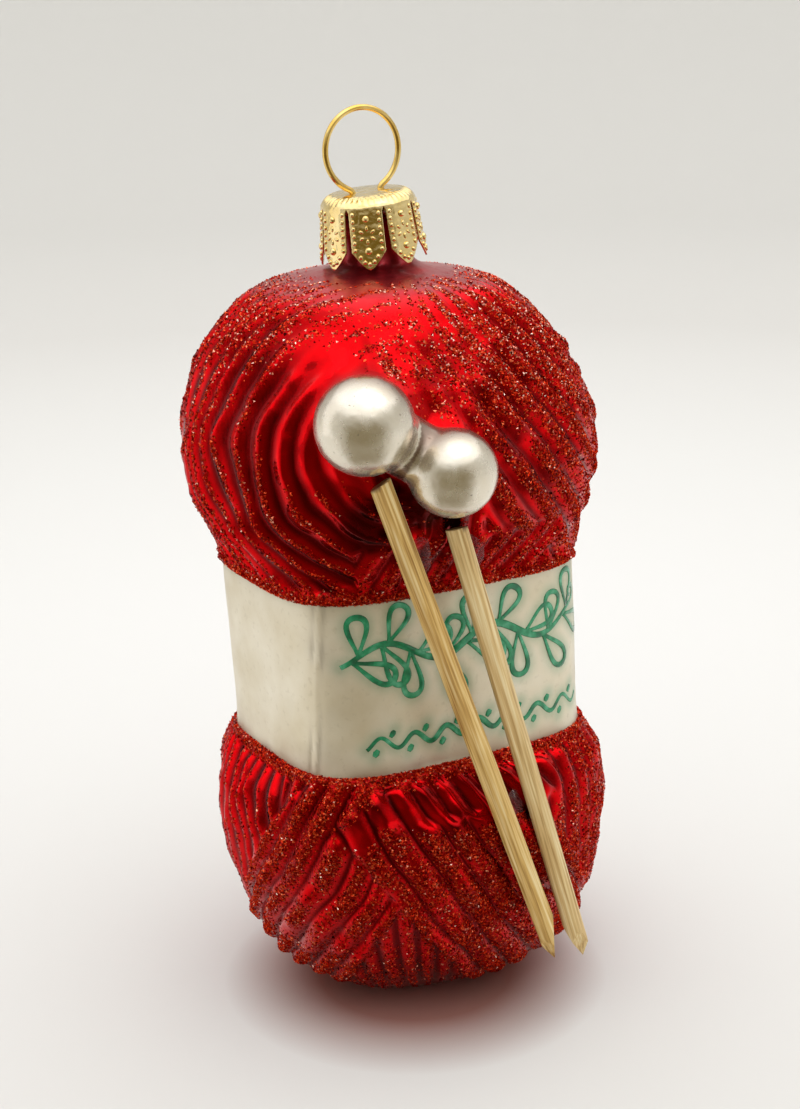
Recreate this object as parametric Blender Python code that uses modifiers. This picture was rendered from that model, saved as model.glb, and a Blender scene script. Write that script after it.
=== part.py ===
"""Hanging ornament of blown glass in the form of a skein of yarn with a paper band round its waist.

Metres, +Z up. The origin is the middle of the small flat spot that the ornament stands on, -Y is
the front with the two knobs and the two sticks, and +X is to the right of that front.
"""

import math
from collections import namedtuple

import bmesh
import bpy
import numpy as np
from mathutils import Matrix, Vector

MM = 0.001

# ---- driving dimensions, in millimetres ----

LEAN = 0.05  # the glass leans this far towards -X for each millimetre of height
NECK_LEAN = 0.06  # and the neck that much more, from the height below on
NECK_LEAN_FROM = 93.0

WALL = 2.2  # from the ridges' tops to the inside of the glass
NECK_WALL = 1.2
NECK_FROM = 93.5
RIDGE_DEPTH = 1.05
SWATH_LIFT = 0.5  # how far a top swath of yarn lies over the ones under it
FLAT_SPOT = 10.2

Section = namedtuple("Section", "height half_width depth_share squareness")
GLASS_SECTIONS = (
    Section(0.0, FLAT_SPOT, 0.86, 2.3),
    Section(2.5, 16.5, 0.86, 2.3),
    Section(6.0, 20.8, 0.86, 2.3),
    Section(11.0, 23.5, 0.86, 2.3),
    Section(17.0, 25.2, 0.86, 2.3),
    Section(23.0, 25.9, 0.86, 2.3),
    Section(29.0, 25.5, 0.86, 2.4),
    Section(33.4, 23.2, 0.84, 2.8),
    Section(34.7, 21.7, 0.80, 3.6),
    Section(35.3, 21.1, 0.79, 3.9),
    Section(36.2, 21.0, 0.79, 3.9),
    Section(46.0, 21.0, 0.79, 3.9),
    Section(57.2, 21.0, 0.79, 3.9),
    Section(57.9, 21.0, 0.79, 3.9),
    Section(58.7, 21.2, 0.80, 3.6),
    Section(60.5, 22.0, 0.83, 2.8),
    Section(65.0, 24.3, 0.86, 2.4),
    Section(71.0, 25.8, 0.86, 2.3),
    Section(78.0, 25.5, 0.86, 2.3),
    Section(85.0, 23.0, 0.86, 2.3),
    Section(89.5, 20.1, 0.87, 2.2),
    Section(92.6, 16.6, 0.89, 2.2),
    Section(94.3, 12.9, 0.92, 2.1),
    Section(95.1, 9.2, 0.97, 2.0),
    Section(95.6, 6.6, 1.0, 2.0),
    Section(96.7, 4.7, 1.0, 2.0),
    Section(102.6, 4.6, 1.0, 2.0),
)
SECTION_TABLE = np.array(GLASS_SECTIONS)
BAND = (35.0, 58.2)
YARN_TOP = 95.1

# A swath is a patch of yarn turns that run side by side. Its centre is given by an angle, from the
# front towards -X, and a height. lean is the patch's turn from upright, strand_turn that of the
# turns inside it, bend curves them (1/mm), pitch is their spacing and lift is a share of SWATH_LIFT.
Swath = namedtuple("Swath", "angle height half_long half_wide lean strand_turn bend pitch lift")
SWATHS = (
    Swath(66, 77, 27, 19, 0, 0, 0.03, 2.8, 0.6),
    Swath(-25, 78, 25, 15, -42, 0, 0.006, 3.1, 1.0),
    Swath(3, 62, 5.5, 17, 0, 32, 0, 2.9, 0.3),
    Swath(-78, 74, 25, 16, 12, 0, -0.02, 2.9, 0.2),
    Swath(-128, 77, 26, 15, 38, 0, 0.012, 3.0, 0.8),
    Swath(172, 76, 26, 16, -30, 0, 0.015, 2.9, 0.4),
    Swath(124, 76, 25, 12, 16, 0, -0.01, 2.8, 1.0),
    Swath(101, 23, 18, 12, -6, 0, -0.012, 2.4, 0.2),
    Swath(60, 18, 18, 12, 38, 0, 0.008, 2.9, 0.6),
    Swath(9, 19, 20, 10, -44, 0, 0.004, 3.3, 1.0),
    Swath(14, 32, 4.5, 13, 0, -28, 0, 2.9, 0.3),
    Swath(-48, 22, 18, 11, -4, 0, 0.01, 2.8, 0.5),
    Swath(-95, 20, 19, 12, 34, 0, 0.01, 2.9, 1.0),
    Swath(-148, 21, 19, 13, -38, 0, 0.006, 3.1, 0.6),
    Swath(158, 20, 19, 12, 12, 0, -0.01, 2.8, 0.9),
)
SWATH_RADIUS = 24.0  # turns a swath's angle into a distance along the glass
SWATH_END = 3.0  # a swath fades out over this length
SWATH_SIDE = 1.6
UPRIGHT_TURNS = 54  # round the glass, where no swath lies on them
UPRIGHT_SHARE = 0.6  # of RIDGE_DEPTH
PLAIN_BASE = 1.5  # bare glass round the flat spot and under the neck, and how the relief fades in
PLAIN_TOP = 2.0
BASE_FADE = 5.0
TOP_FADE = 8.0

Knob = namedtuple("Knob", "name radius centre facing")
KNOBS = (
    Knob("left", 5.75, (-19.0, -21.7, 81.3), (-0.55, -0.81, 0.2)),
    Knob("right", 5.2, (-9.1, -24.6, 75.0), (-0.2, -0.97, 0.1)),
)
KNOB_WALL = 1.2
KNOB_SINK = 0.5  # a knob's collar goes this far past its ball, into the glass
KNOB_BORE = 4.0  # and its hollow this far, into the body's own
COLLAR_FROM = -32  # degrees from the ball's equator
COLLAR_ROWS = ((0.86, 0.6), (0.98, 0.85))  # shares of the ball's radius: across, and below its middle

Needle = namedtuple("Needle", "name top tip")
NEEDLES = (
    Needle("needle_left", (-17.56, -22.3, 74.7), (5.65, -25.1, 8.6)),
    Needle("needle_right", (-7.3, -22.4, 67.2), (10.5, -23.7, 6.8)),
)
NEEDLE_RADIUS = 1.38
NEEDLE_EDGE = 0.3  # the worn edge of the cut top
NEEDLE_POINT = 7.5
POINT_ROWS = ((1.0, 1.0), (0.42, 0.55), (0.0, 0.16))  # share of the point left, share of the radius
NEEDLE_FACETS = 9

CAP_FOOT = (-5.3, 0.0, 96.5)  # where the cap's axis meets the level of its petals' tips
CAP_TILT = math.radians(6.0)
CAP_HEIGHT = 8.6
CAP_SHEET = 0.35
RIM_RADIUS = 5.75
TIP_RADIUS = 6.55
RIM_DROP = 1.2
PETALS = 8
CROWN_ROWS = ((0.0, 0.0), (2.2, 0.0), (4.45, 0.1), (5.4, 0.4), (RIM_RADIUS, RIM_DROP))  # radius, drop
PETAL_ROWS = ((6.5, 2.2), (4.4, 2.2), (2.1, 2.2), (0.95, 1.06), (0.0, 0.0))  # height, half width
WIRE_RADIUS = 0.4
WIRE_HOLE = 0.72
WIRE_SPREAD = 2.4  # each leg's distance from the cap's axis
LOOP_RADIUS = 5.0
LOOP_LIFT = 0.7  # the legs show for this length between the cap and the loop
LEG_STRAIGHT = 10.4  # down through the cap and the neck
LEG_LENGTH = 15.0
LEG_SPLAY = 4.2

# ---- smoothness of the meshes ----

GLASS_COLUMNS = 240
GLASS_STEP = 0.95
GLASS_KEPT = 0.115  # share of the glass's faces left once the flat ones are merged
CAVITY_COLUMNS = 30
CAVITY_STEP = 6.0
CAVITY_PAST = 4.0  # the cavity's cutter stands this far out of the neck
KNOB_SEGMENTS = 22
KNOB_ROWS = 12
PETAL_COLUMNS = 4
HOLE_SEGMENTS = 12
LOOP_POINTS = 31
SHARP_FROM = math.radians(50)


def clear_scene():
    for obj in list(bpy.data.objects):
        bpy.data.objects.remove(obj, do_unlink=True)


def collection(name, hidden=False):
    made = bpy.data.collections.new(name)
    bpy.context.scene.collection.children.link(made)
    made.hide_render = hidden
    return made


def material(name, colour, roughness, metallic=0.0):
    made = bpy.data.materials.new(name)
    made.use_nodes = True
    shader = made.node_tree.nodes["Principled BSDF"]
    shader.inputs["Base Color"].default_value = (*colour, 1)
    shader.inputs["Roughness"].default_value = roughness
    shader.inputs["Metallic"].default_value = metallic
    made.diffuse_color = (*colour, 1)
    return made


def object_of(name, bm, group, materials, place=Matrix()):
    """Turns a bmesh in millimetres into an object in metres."""
    bmesh.ops.recalc_face_normals(bm, faces=bm.faces)
    bmesh.ops.scale(bm, vec=(MM, MM, MM), verts=bm.verts)
    mesh = bpy.data.meshes.new(name)
    bm.to_mesh(mesh)
    bm.free()
    for each in materials:
        mesh.materials.append(each)
    mesh.shade_smooth()
    mesh.set_sharp_from_angle(angle=SHARP_FROM)
    obj = bpy.data.objects.new(name, mesh)
    obj.matrix_world = place
    group.objects.link(obj)
    return obj


def cutter_look(obj):
    obj.hide_render = True
    obj.display_type = "WIRE"


def boolean(obj, name, operation, other):
    made = obj.modifiers.new(name, "BOOLEAN")
    made.operation = operation
    made.object = other
    made.solver = "EXACT"


def turned(outline, segments):
    """A closed bmesh: the outline, (radius, height) pairs from the axis to the axis, turned once."""
    bm = bmesh.new()
    points = [bm.verts.new((radius, 0, height)) for radius, height in outline]
    edges = [bm.edges.new(pair) for pair in zip(points, points[1:])]
    bmesh.ops.spin(
        bm,
        geom=points + edges,
        cent=(0, 0, 0),
        axis=(0, 0, 1),
        angle=math.tau,
        steps=segments,
        use_merge=True,
    )
    bmesh.ops.remove_doubles(bm, verts=bm.verts, dist=1e-4)
    return bm


# ---- the glass: one blown shell with its knobs ----


def axis_at(height):
    return -LEAN * height - NECK_LEAN * np.maximum(height - NECK_LEAN_FROM, 0)


def section_runs():
    """The length along the glass's outline from the middle of the base to each section."""
    steps = np.hypot(*np.diff(SECTION_TABLE[:, :2], axis=0).T)
    return FLAT_SPOT + np.concatenate([[0], np.cumsum(steps)])


def run_at(height):
    return float(np.interp(height, SECTION_TABLE[:, 0], section_runs()))


def between(t, start, start_way, end, end_way):
    """A point on the smooth curve that leaves start along start_way and reaches end along end_way."""
    return (
        (2 * t**3 - 3 * t**2 + 1) * start
        + (t**3 - 2 * t**2 + t) * start_way
        + (3 * t**2 - 2 * t**3) * end
        + (t**3 - t**2) * end_way
    )


def meridian(step, inset=0.0):
    """The glass's outline from the base to the neck as rows of (run, Section, way), a step apart.

    run is the length along the outline from the middle of the base, way is the outline's direction
    there as (height, half width), and inset moves the rows inwards.
    """
    runs = section_runs()
    outline = SECTION_TABLE[:, :2]
    chords = np.diff(outline, axis=0) / np.diff(runs)[:, None]
    slopes = np.vstack([chords[:1], (chords[:-1] + chords[1:]) / 2, chords[-1:]])
    count = round((runs[-1] - FLAT_SPOT) / step) + 1
    rows = []
    for run in np.linspace(FLAT_SPOT, runs[-1], count):
        i = min(np.searchsorted(runs, run, side="right"), len(runs) - 1)
        span = runs[i] - runs[i - 1]
        t = (run - runs[i - 1]) / span
        point = between(t, outline[i - 1], slopes[i - 1] * span, outline[i], slopes[i] * span)
        shares = SECTION_TABLE[i - 1, 2:] * (1 - t) + SECTION_TABLE[i, 2:] * t
        rows.append((run, Section(*point, *shares)))
    ways = np.gradient(np.array([(row.height, row.half_width) for _, row in rows]), axis=0)
    ways /= np.linalg.norm(ways, axis=1)[:, None]
    moved = []
    for (run, row), (up, out) in zip(rows, ways):
        wall = min(inset, NECK_WALL) if row.height > NECK_FROM else inset
        inner = row._replace(height=row.height + wall * out, half_width=row.half_width - wall * up)
        moved.append((run, inner, (up, out)))
    return moved


def reach(angle, section):
    """Distance from the axis to the section's edge, as a share of its half width."""
    side = abs(math.sin(angle)) ** section.squareness
    front = (abs(math.cos(angle)) / section.depth_share) ** section.squareness
    return (side + front) ** (-1 / section.squareness)


def fade(distance, limit, soft):
    """1 well inside the limit and 0 past it, with a soft edge."""
    t = min(max((limit - abs(distance)) / soft, 0), 1)
    return t * t * (3 - 2 * t)


SWATH_RUNS = [run_at(swath.height) for swath in SWATHS]
YARN_RUNS = [run_at(height) for height in (*BAND, YARN_TOP)]


def rounded_turns(across, pitch):
    """0 in the groove between two turns and 1 along the top of each."""
    return abs(math.cos(math.pi * across / pitch))


def relief(angle, run):
    """How far the yarn's turns stand out of the outline, at an angle and a run along it."""
    band_start, band_end, yarn_end = YARN_RUNS
    if band_start <= run <= band_end:
        return 0.0
    upright_pitch = math.tau * SWATH_RADIUS / UPRIGHT_TURNS
    height = UPRIGHT_SHARE * RIDGE_DEPTH * rounded_turns(angle * SWATH_RADIUS, upright_pitch)
    for swath, middle in zip(SWATHS, SWATH_RUNS):
        if (run < band_start) != (middle < band_start):
            continue
        turn = (angle - math.radians(swath.angle) + math.pi) % math.tau - math.pi
        right, up = -turn * SWATH_RADIUS, run - middle
        lean = math.radians(swath.lean)
        along = right * math.sin(lean) + up * math.cos(lean)
        across = right * math.cos(lean) - up * math.sin(lean)
        inside = fade(along, swath.half_long, SWATH_END) * fade(across, swath.half_wide, SWATH_SIDE)
        strand = math.radians(swath.strand_turn)
        strand_along = across * math.sin(strand) + along * math.cos(strand)
        strand_across = across * math.cos(strand) - along * math.sin(strand)
        turns = rounded_turns(strand_across - swath.bend * strand_along**2, swath.pitch)
        height = max(height, inside * (RIDGE_DEPTH * turns + SWATH_LIFT * swath.lift))
    base_fade = min(max((run - FLAT_SPOT - PLAIN_BASE) / BASE_FADE, 0), 1)
    top_fade = min(max((yarn_end - PLAIN_TOP - run) / TOP_FADE, 0), 1)
    return (height - RIDGE_DEPTH) * base_fade * top_fade


def glass_form(columns, step, inset, ridged):
    """The glass's outer skin, or the inside of it when it is inset, as a closed turned form."""
    rows = meridian(step, inset)
    outline = [(0.0, 0.0)] + [(float(row.half_width), float(row.height)) for _, row, _ in rows]
    outline.append((0.0, outline[-1][1]))
    bm = turned(outline, columns)
    radii = np.array([row.half_width for _, row, _ in rows])
    heights = np.array([row.height for _, row, _ in rows])
    for vert in bm.verts:
        radius = math.hypot(vert.co.x, vert.co.y)
        if radius < 1e-3:
            vert.co.x = axis_at(vert.co.z)
            continue
        angle = math.atan2(-vert.co.x, -vert.co.y)
        nearest = int(np.argmin((radii - radius) ** 2 + (heights - vert.co.z) ** 2))
        run, row, (way_up, way_out) = rows[nearest]
        raised = relief(angle, run) if ridged else 0.0
        out = row.half_width * reach(angle, row) + raised * way_up
        x = axis_at(row.height) - out * math.sin(angle)
        vert.co = Vector((x, -out * math.cos(angle), row.height - raised * way_out))
    return bm


def knob_outline(radius, root):
    """A ball on a short waisted collar; height 0 is the ball's middle, and root is how far below it ends."""
    turns = np.radians(np.linspace(90, COLLAR_FROM, KNOB_ROWS))[1:]
    ball = [(radius * math.cos(a), radius * math.sin(a)) for a in turns]
    collar = [(across * radius, -below * radius) for across, below in COLLAR_ROWS]
    return [(0.0, radius), *ball, *collar, (collar[-1][0], -root), (0.0, -root)]


def knob_place(knob):
    turn = Vector((0, 0, 1)).rotation_difference(Vector(knob.facing)).to_matrix().to_4x4()
    return Matrix.Translation(Vector(knob.centre) * MM) @ turn


def build_glass(parts, helpers):
    looks = (
        material("red_lacquered_glass", (0.42, 0.005, 0.012), 0.25, metallic=0.6),
        material("cream_lacquered_glass", (0.62, 0.56, 0.43), 0.4, metallic=0.3),
        material("pearl_lacquered_glass", (0.7, 0.66, 0.56), 0.3, metallic=0.4),
    )
    red, cream, pearl = range(len(looks))
    glass = object_of("glass_body", glass_form(GLASS_COLUMNS, GLASS_STEP, 0.0, True), parts, looks)
    for face in glass.data.polygons:
        face.material_index = cream if BAND[0] < face.center.z / MM < BAND[1] else red
    thinner = glass.modifiers.new("merge_flat_faces", "DECIMATE")
    thinner.ratio = GLASS_KEPT
    for knob in KNOBS:
        skin = turned(knob_outline(knob.radius, knob.radius + KNOB_SINK), KNOB_SEGMENTS)
        bore = turned(knob_outline(knob.radius - KNOB_WALL, knob.radius + KNOB_BORE), KNOB_SEGMENTS // 2)
        outside = object_of(f"knob_{knob.name}", skin, helpers, looks, knob_place(knob))
        inside = object_of(f"knob_{knob.name}_inside", bore, helpers, looks, knob_place(knob))
        for face in outside.data.polygons:
            face.material_index = pearl
        cutter_look(outside)
        cutter_look(inside)
        boolean(glass, f"blow_{knob.name}_knob", "UNION", outside)
        boolean(glass, f"hollow_{knob.name}_knob", "DIFFERENCE", inside)
    cavity = object_of("cavity", glass_form(CAVITY_COLUMNS, CAVITY_STEP, WALL, False), helpers, looks)
    neck_end = max(vert.co.z for vert in cavity.data.vertices)
    for vert in cavity.data.vertices:
        if vert.co.z > neck_end - MM:
            vert.co.z += CAVITY_PAST * MM
    cutter_look(cavity)
    boolean(glass, "hollow", "DIFFERENCE", cavity)


# ---- the stamped cap ----


def cap_place():
    turn = Matrix.Rotation(-CAP_TILT, 4, "Y")
    return Matrix.Translation(Vector(CAP_FOOT) * MM) @ turn


def petal_path():
    """(radius, height, half angle) of one petal, from the middle of the crown down to the point."""
    path = [(radius, CAP_HEIGHT - drop, math.pi / PETALS) for radius, drop in CROWN_ROWS]
    skirt = CAP_HEIGHT - RIM_DROP
    for height, half_width in PETAL_ROWS:
        radius = RIM_RADIUS + (TIP_RADIUS - RIM_RADIUS) * (1 - height / skirt)
        path.append((radius, height, half_width / radius))
    return path


def build_cap(parts, helpers):
    path = petal_path()
    bm = bmesh.new()
    bmesh.ops.create_grid(bm, x_segments=PETAL_COLUMNS, y_segments=len(path) - 1, size=0.5)
    for vert in bm.verts:
        radius, height, half_angle = path[round((vert.co.y + 0.5) * (len(path) - 1))]
        angle = 2 * vert.co.x * half_angle
        vert.co = Vector((radius * math.sin(angle), -radius * math.cos(angle), height))
    petal = bm.verts[:] + bm.edges[:] + bm.faces[:]
    for k in range(1, PETALS):
        copied = bmesh.ops.duplicate(bm, geom=petal)["geom"]
        verts = [each for each in copied if isinstance(each, bmesh.types.BMVert)]
        turn = Matrix.Rotation(math.tau * k / PETALS, 3, "Z")
        bmesh.ops.rotate(bm, cent=(0, 0, 0), matrix=turn, verts=verts)
    bmesh.ops.remove_doubles(bm, verts=bm.verts, dist=1e-3)
    brass = material("gold_coloured_brass", (0.75, 0.52, 0.2), 0.22, metallic=1.0)
    cap = object_of("crown_cap", bm, parts, (brass,), cap_place())
    sheet = cap.modifiers.new("sheet", "SOLIDIFY")
    sheet.thickness = CAP_SHEET * MM
    sheet.offset = -1
    for name, side in (("left", -1), ("right", 1)):
        hole = bmesh.new()
        bmesh.ops.create_cone(
            hole,
            cap_ends=True,
            segments=HOLE_SEGMENTS,
            radius1=WIRE_HOLE,
            radius2=WIRE_HOLE,
            depth=10 * CAP_SHEET,
            matrix=Matrix.Translation((side * WIRE_SPREAD, 0, CAP_HEIGHT)),
        )
        cutter = object_of(f"wire_hole_{name}", hole, helpers, (brass,), cap_place())
        cutter_look(cutter)
        boolean(cap, f"punch_{name}", "DIFFERENCE", cutter)


# ---- the sprung wire with its loop ----


def build_ring(parts):
    meets_leg = math.pi - math.asin(WIRE_SPREAD / LOOP_RADIUS)
    middle = CAP_HEIGHT + LOOP_LIFT - LOOP_RADIUS * math.cos(meets_leg)
    loop = np.linspace(meets_leg, -meets_leg, LOOP_POINTS)
    loop = [(LOOP_RADIUS * math.sin(a), middle + LOOP_RADIUS * math.cos(a)) for a in loop]
    leg = [
        (WIRE_SPREAD, CAP_HEIGHT - LOOP_LIFT),
        (WIRE_SPREAD, CAP_HEIGHT - LEG_STRAIGHT),
        (LEG_SPLAY, CAP_HEIGHT - LEG_LENGTH),
    ]
    route = leg[::-1] + loop + [(-x, z) for x, z in leg]
    curve = bpy.data.curves.new("cap_ring", "CURVE")
    curve.dimensions = "3D"
    curve.bevel_depth = WIRE_RADIUS * MM
    curve.bevel_resolution = 2
    curve.use_fill_caps = True
    spline = curve.splines.new("POLY")
    spline.points.add(len(route) - 1)
    for point, (x, z) in zip(spline.points, route):
        point.co = (x * MM, 0, z * MM, 1)
    curve.materials.append(material("gold_coloured_wire", (0.78, 0.55, 0.22), 0.18, metallic=1.0))
    ring = bpy.data.objects.new("cap_ring", curve)
    ring.matrix_world = cap_place()
    parts.objects.link(ring)


# ---- the two sharpened sticks ----


def build_needle(needle, parts, bamboo):
    top, tip = Vector(needle.top), Vector(needle.tip)
    length = (tip - top).length
    shaft = [(0.0, 0.0), (NEEDLE_RADIUS - NEEDLE_EDGE / 3, 0.0), (NEEDLE_RADIUS, NEEDLE_EDGE)]
    point = [(NEEDLE_RADIUS * share, length - NEEDLE_POINT * left) for left, share in POINT_ROWS]
    outline = shaft + point + [(0.0, length)]
    turn = Vector((0, 0, 1)).rotation_difference(tip - top).to_matrix().to_4x4()
    place = Matrix.Translation(top * MM) @ turn
    object_of(needle.name, turned(outline, NEEDLE_FACETS), parts, (bamboo,), place)


def build():
    clear_scene()
    parts = collection("yarn_ornament")
    helpers = collection("cutters", hidden=True)
    build_glass(parts, helpers)
    build_cap(parts, helpers)
    build_ring(parts)
    bamboo = material("bamboo", (0.66, 0.5, 0.27), 0.55)
    for needle in NEEDLES:
        build_needle(needle, parts, bamboo)


build()
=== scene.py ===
from collections import namedtuple
from math import asin, atan2, copysign, cos, degrees, exp, hypot, pi, radians, sin, tau

import bmesh
import bpy
import numpy as np
from bmesh.types import BMEdge, BMVert
from mathutils import Matrix, Quaternion, Vector, kdtree, noise


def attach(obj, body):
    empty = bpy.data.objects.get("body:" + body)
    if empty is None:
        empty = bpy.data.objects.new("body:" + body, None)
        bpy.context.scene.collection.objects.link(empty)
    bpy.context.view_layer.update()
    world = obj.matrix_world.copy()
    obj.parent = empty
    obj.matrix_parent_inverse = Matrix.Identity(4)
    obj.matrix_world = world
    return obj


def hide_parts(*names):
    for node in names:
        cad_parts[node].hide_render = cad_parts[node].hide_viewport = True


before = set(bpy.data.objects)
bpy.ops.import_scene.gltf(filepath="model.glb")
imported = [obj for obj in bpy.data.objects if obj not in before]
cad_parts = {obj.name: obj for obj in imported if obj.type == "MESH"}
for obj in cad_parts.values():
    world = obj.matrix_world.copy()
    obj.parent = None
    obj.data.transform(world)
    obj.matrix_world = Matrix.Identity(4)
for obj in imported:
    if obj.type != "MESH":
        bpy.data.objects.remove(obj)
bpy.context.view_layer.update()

# ---- the camera ----
# It looks at the ornament from the front left and a little above, close up, as over a table. Its
# place and lens were found from the cap, the corner of the band and the two sticks.

MM = 0.001
AIM = Vector((-2.4, 0.0, 57.8)) * MM
AZIMUTH = radians(-29.49)
ELEVATION = radians(16.94)
DISTANCE = 250.9 * MM
ROLL = radians(-1.01)
FOCAL_LENGTH = 62.4


def in_scene(name, data):
    made = bpy.data.objects.new(name, data)
    bpy.context.scene.collection.objects.link(made)
    return made


towards_camera = Vector((sin(AZIMUTH) * cos(ELEVATION), -cos(AZIMUTH) * cos(ELEVATION), sin(ELEVATION)))
lens = bpy.data.cameras.new("camera")
lens.sensor_width = 36
lens.lens = FOCAL_LENGTH
lens.clip_start = 10 * MM
camera = in_scene("camera", lens)
camera.location = AIM + towards_camera * DISTANCE
camera.rotation_mode = "QUATERNION"
camera.rotation_quaternion = (-towards_camera).to_track_quat("-Z", "Y") @ Quaternion((0, 0, 1), ROLL)
bpy.context.scene.camera = camera
bpy.context.scene.view_settings.view_transform = "Standard"

# ---- the blown glass: its form ----
# One thin shell, blown into a two-part mould that gives it the form of a skein of yarn with a
# paper band round its waist. Each row is a level section, in millimetres: a rounded square.

FLAT_SPOT = 10.2
GLASS_SECTIONS = (  # height, half width, the half depth's share of that, and squareness
    (0.0, FLAT_SPOT, 0.86, 2.3),
    (2.5, 16.5, 0.86, 2.3),
    (6.0, 20.8, 0.86, 2.3),
    (11.0, 23.5, 0.86, 2.3),
    (17.0, 25.2, 0.86, 2.3),
    (23.0, 25.9, 0.86, 2.3),
    (29.0, 25.5, 0.86, 2.4),
    (33.4, 23.2, 0.84, 2.8),
    (34.7, 21.7, 0.80, 3.6),
    (35.3, 21.1, 0.79, 3.9),
    (36.2, 21.0, 0.79, 3.9),
    (46.0, 21.0, 0.79, 3.9),
    (57.2, 21.0, 0.79, 3.9),
    (57.9, 21.0, 0.79, 3.9),
    (58.7, 21.2, 0.80, 3.6),
    (60.5, 22.0, 0.83, 2.8),
    (65.0, 24.3, 0.86, 2.4),
    (71.0, 25.8, 0.86, 2.3),
    (78.0, 25.5, 0.86, 2.3),
    (85.0, 23.0, 0.86, 2.3),
    (89.5, 20.1, 0.87, 2.2),
    (92.6, 16.6, 0.89, 2.2),
    (94.3, 12.9, 0.92, 2.1),
    (95.1, 9.2, 0.97, 2.0),
    (95.6, 6.6, 1.0, 2.0),
    (96.7, 4.7, 1.0, 2.0),
    (102.6, 4.6, 1.0, 2.0),
)
LEAN = 0.05
NECK_LEAN = 0.06
NECK_LEAN_FROM = 93.0
BAND = (35.0, 58.2)
BAND_MIDDLE = sum(BAND) / 2
YARN_TOP = 95.1


def smooth_outline(step=0.1):
    """The glass's side outline as columns by name, a step apart; run is the length along it."""
    table = np.array(GLASS_SECTIONS)
    runs = FLAT_SPOT + np.concatenate([[0], np.cumsum(np.hypot(*np.diff(table[:, :2], axis=0).T))])
    chords = np.diff(table[:, :2], axis=0) / np.diff(runs)[:, None]
    slopes = np.vstack([chords[:1], (chords[:-1] + chords[1:]) / 2, chords[-1:]])
    run = np.linspace(FLAT_SPOT, runs[-1], round((runs[-1] - FLAT_SPOT) / step))
    i = np.clip(np.searchsorted(runs, run, side="right"), 1, len(runs) - 1)
    span = (runs[i] - runs[i - 1])[:, None]
    t = (run - runs[i - 1])[:, None] / span
    point = (
        (2 * t**3 - 3 * t**2 + 1) * table[i - 1, :2]
        + (t**3 - 2 * t**2 + t) * slopes[i - 1] * span
        + (3 * t**2 - 2 * t**3) * table[i, :2]
        + (t**3 - t**2) * slopes[i] * span
    )
    shares = table[i - 1, 2:] * (1 - t) + table[i, 2:] * t
    ways = np.gradient(point, axis=0)
    ways /= np.linalg.norm(ways, axis=1)[:, None]
    middle = np.array([[0, 0, 0, *table[0, 2:], 0, 1]])
    names = ("run", "height", "half_width", "depth_share", "squareness", "up", "out")
    return dict(zip(names, np.vstack([middle, np.column_stack([run, point, shares, ways])]).T))


OUTLINE = smooth_outline()


def outline_at(run, *names):
    return [np.interp(run, OUTLINE["run"], OUTLINE[name]) for name in names]


def run_at(height):
    side = OUTLINE["run"] >= FLAT_SPOT
    return float(np.interp(height, OUTLINE["height"][side], OUTLINE["run"][side]))


def on_glass(angle, run, raised=0.0):
    """Points on the glass in millimetres, at angles from the front towards -X and runs along it."""
    height, half_width, share, square, up, out = outline_at(run, *list(OUTLINE)[1:])
    side = np.abs(np.sin(angle)) ** square
    front = (np.abs(np.cos(angle)) / share) ** square
    reach = half_width * (side + front) ** (-1 / square) + raised * up
    axis = -LEAN * height - NECK_LEAN * np.maximum(height - NECK_LEAN_FROM, 0)
    return np.column_stack([axis - reach * np.sin(angle), -reach * np.cos(angle), height - raised * out])


BAND_RUNS = [run_at(height) for height in BAND]
YARN_END = run_at(YARN_TOP)
NECK_END = float(OUTLINE["run"][-1])

# ---- the places of the knobs ----
# Two hollow balls are blown out of the same glass, on short collars, as the heads of the needles.
# The yarn's glass swells to meet them, and lies calm and free of glitter round them.

Knob = namedtuple("Knob", "radius centre facing")
KNOBS = (
    Knob(5.9, (-19.0, -21.7, 81.4), (-0.55, -0.81, 0.2)),
    Knob(5.35, (-9.1, -24.6, 75.1), (-0.2, -0.97, 0.1)),
)
COLLAR = 0.86  # share of a knob's radius
SWELL = 1.7
SWELL_REACH = 1.6
CALM_REACH = 4.0
FAR = 99.0


def off_the_knobs(points):
    """Each point's distance in mm past the nearer knob's collar."""
    past = np.full(len(points), FAR)
    for knob in KNOBS:
        facing = np.array(Vector(knob.facing).normalized())
        from_centre = points - np.array(knob.centre)
        along = from_centre @ facing
        away = np.linalg.norm(from_centre - along[:, None] * facing, axis=1)
        away = np.where(np.abs(along) < 3 * knob.radius, away, FAR)
        past = np.minimum(past, away - COLLAR * knob.radius)
    return past


# ---- the yarn's turns ----
# The mould presses swaths of wound yarn into the glass: rounded ridges about 3 mm apart that run
# side by side in each swath, and overlap from swath to swath. Glitter holds to their crests.

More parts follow.
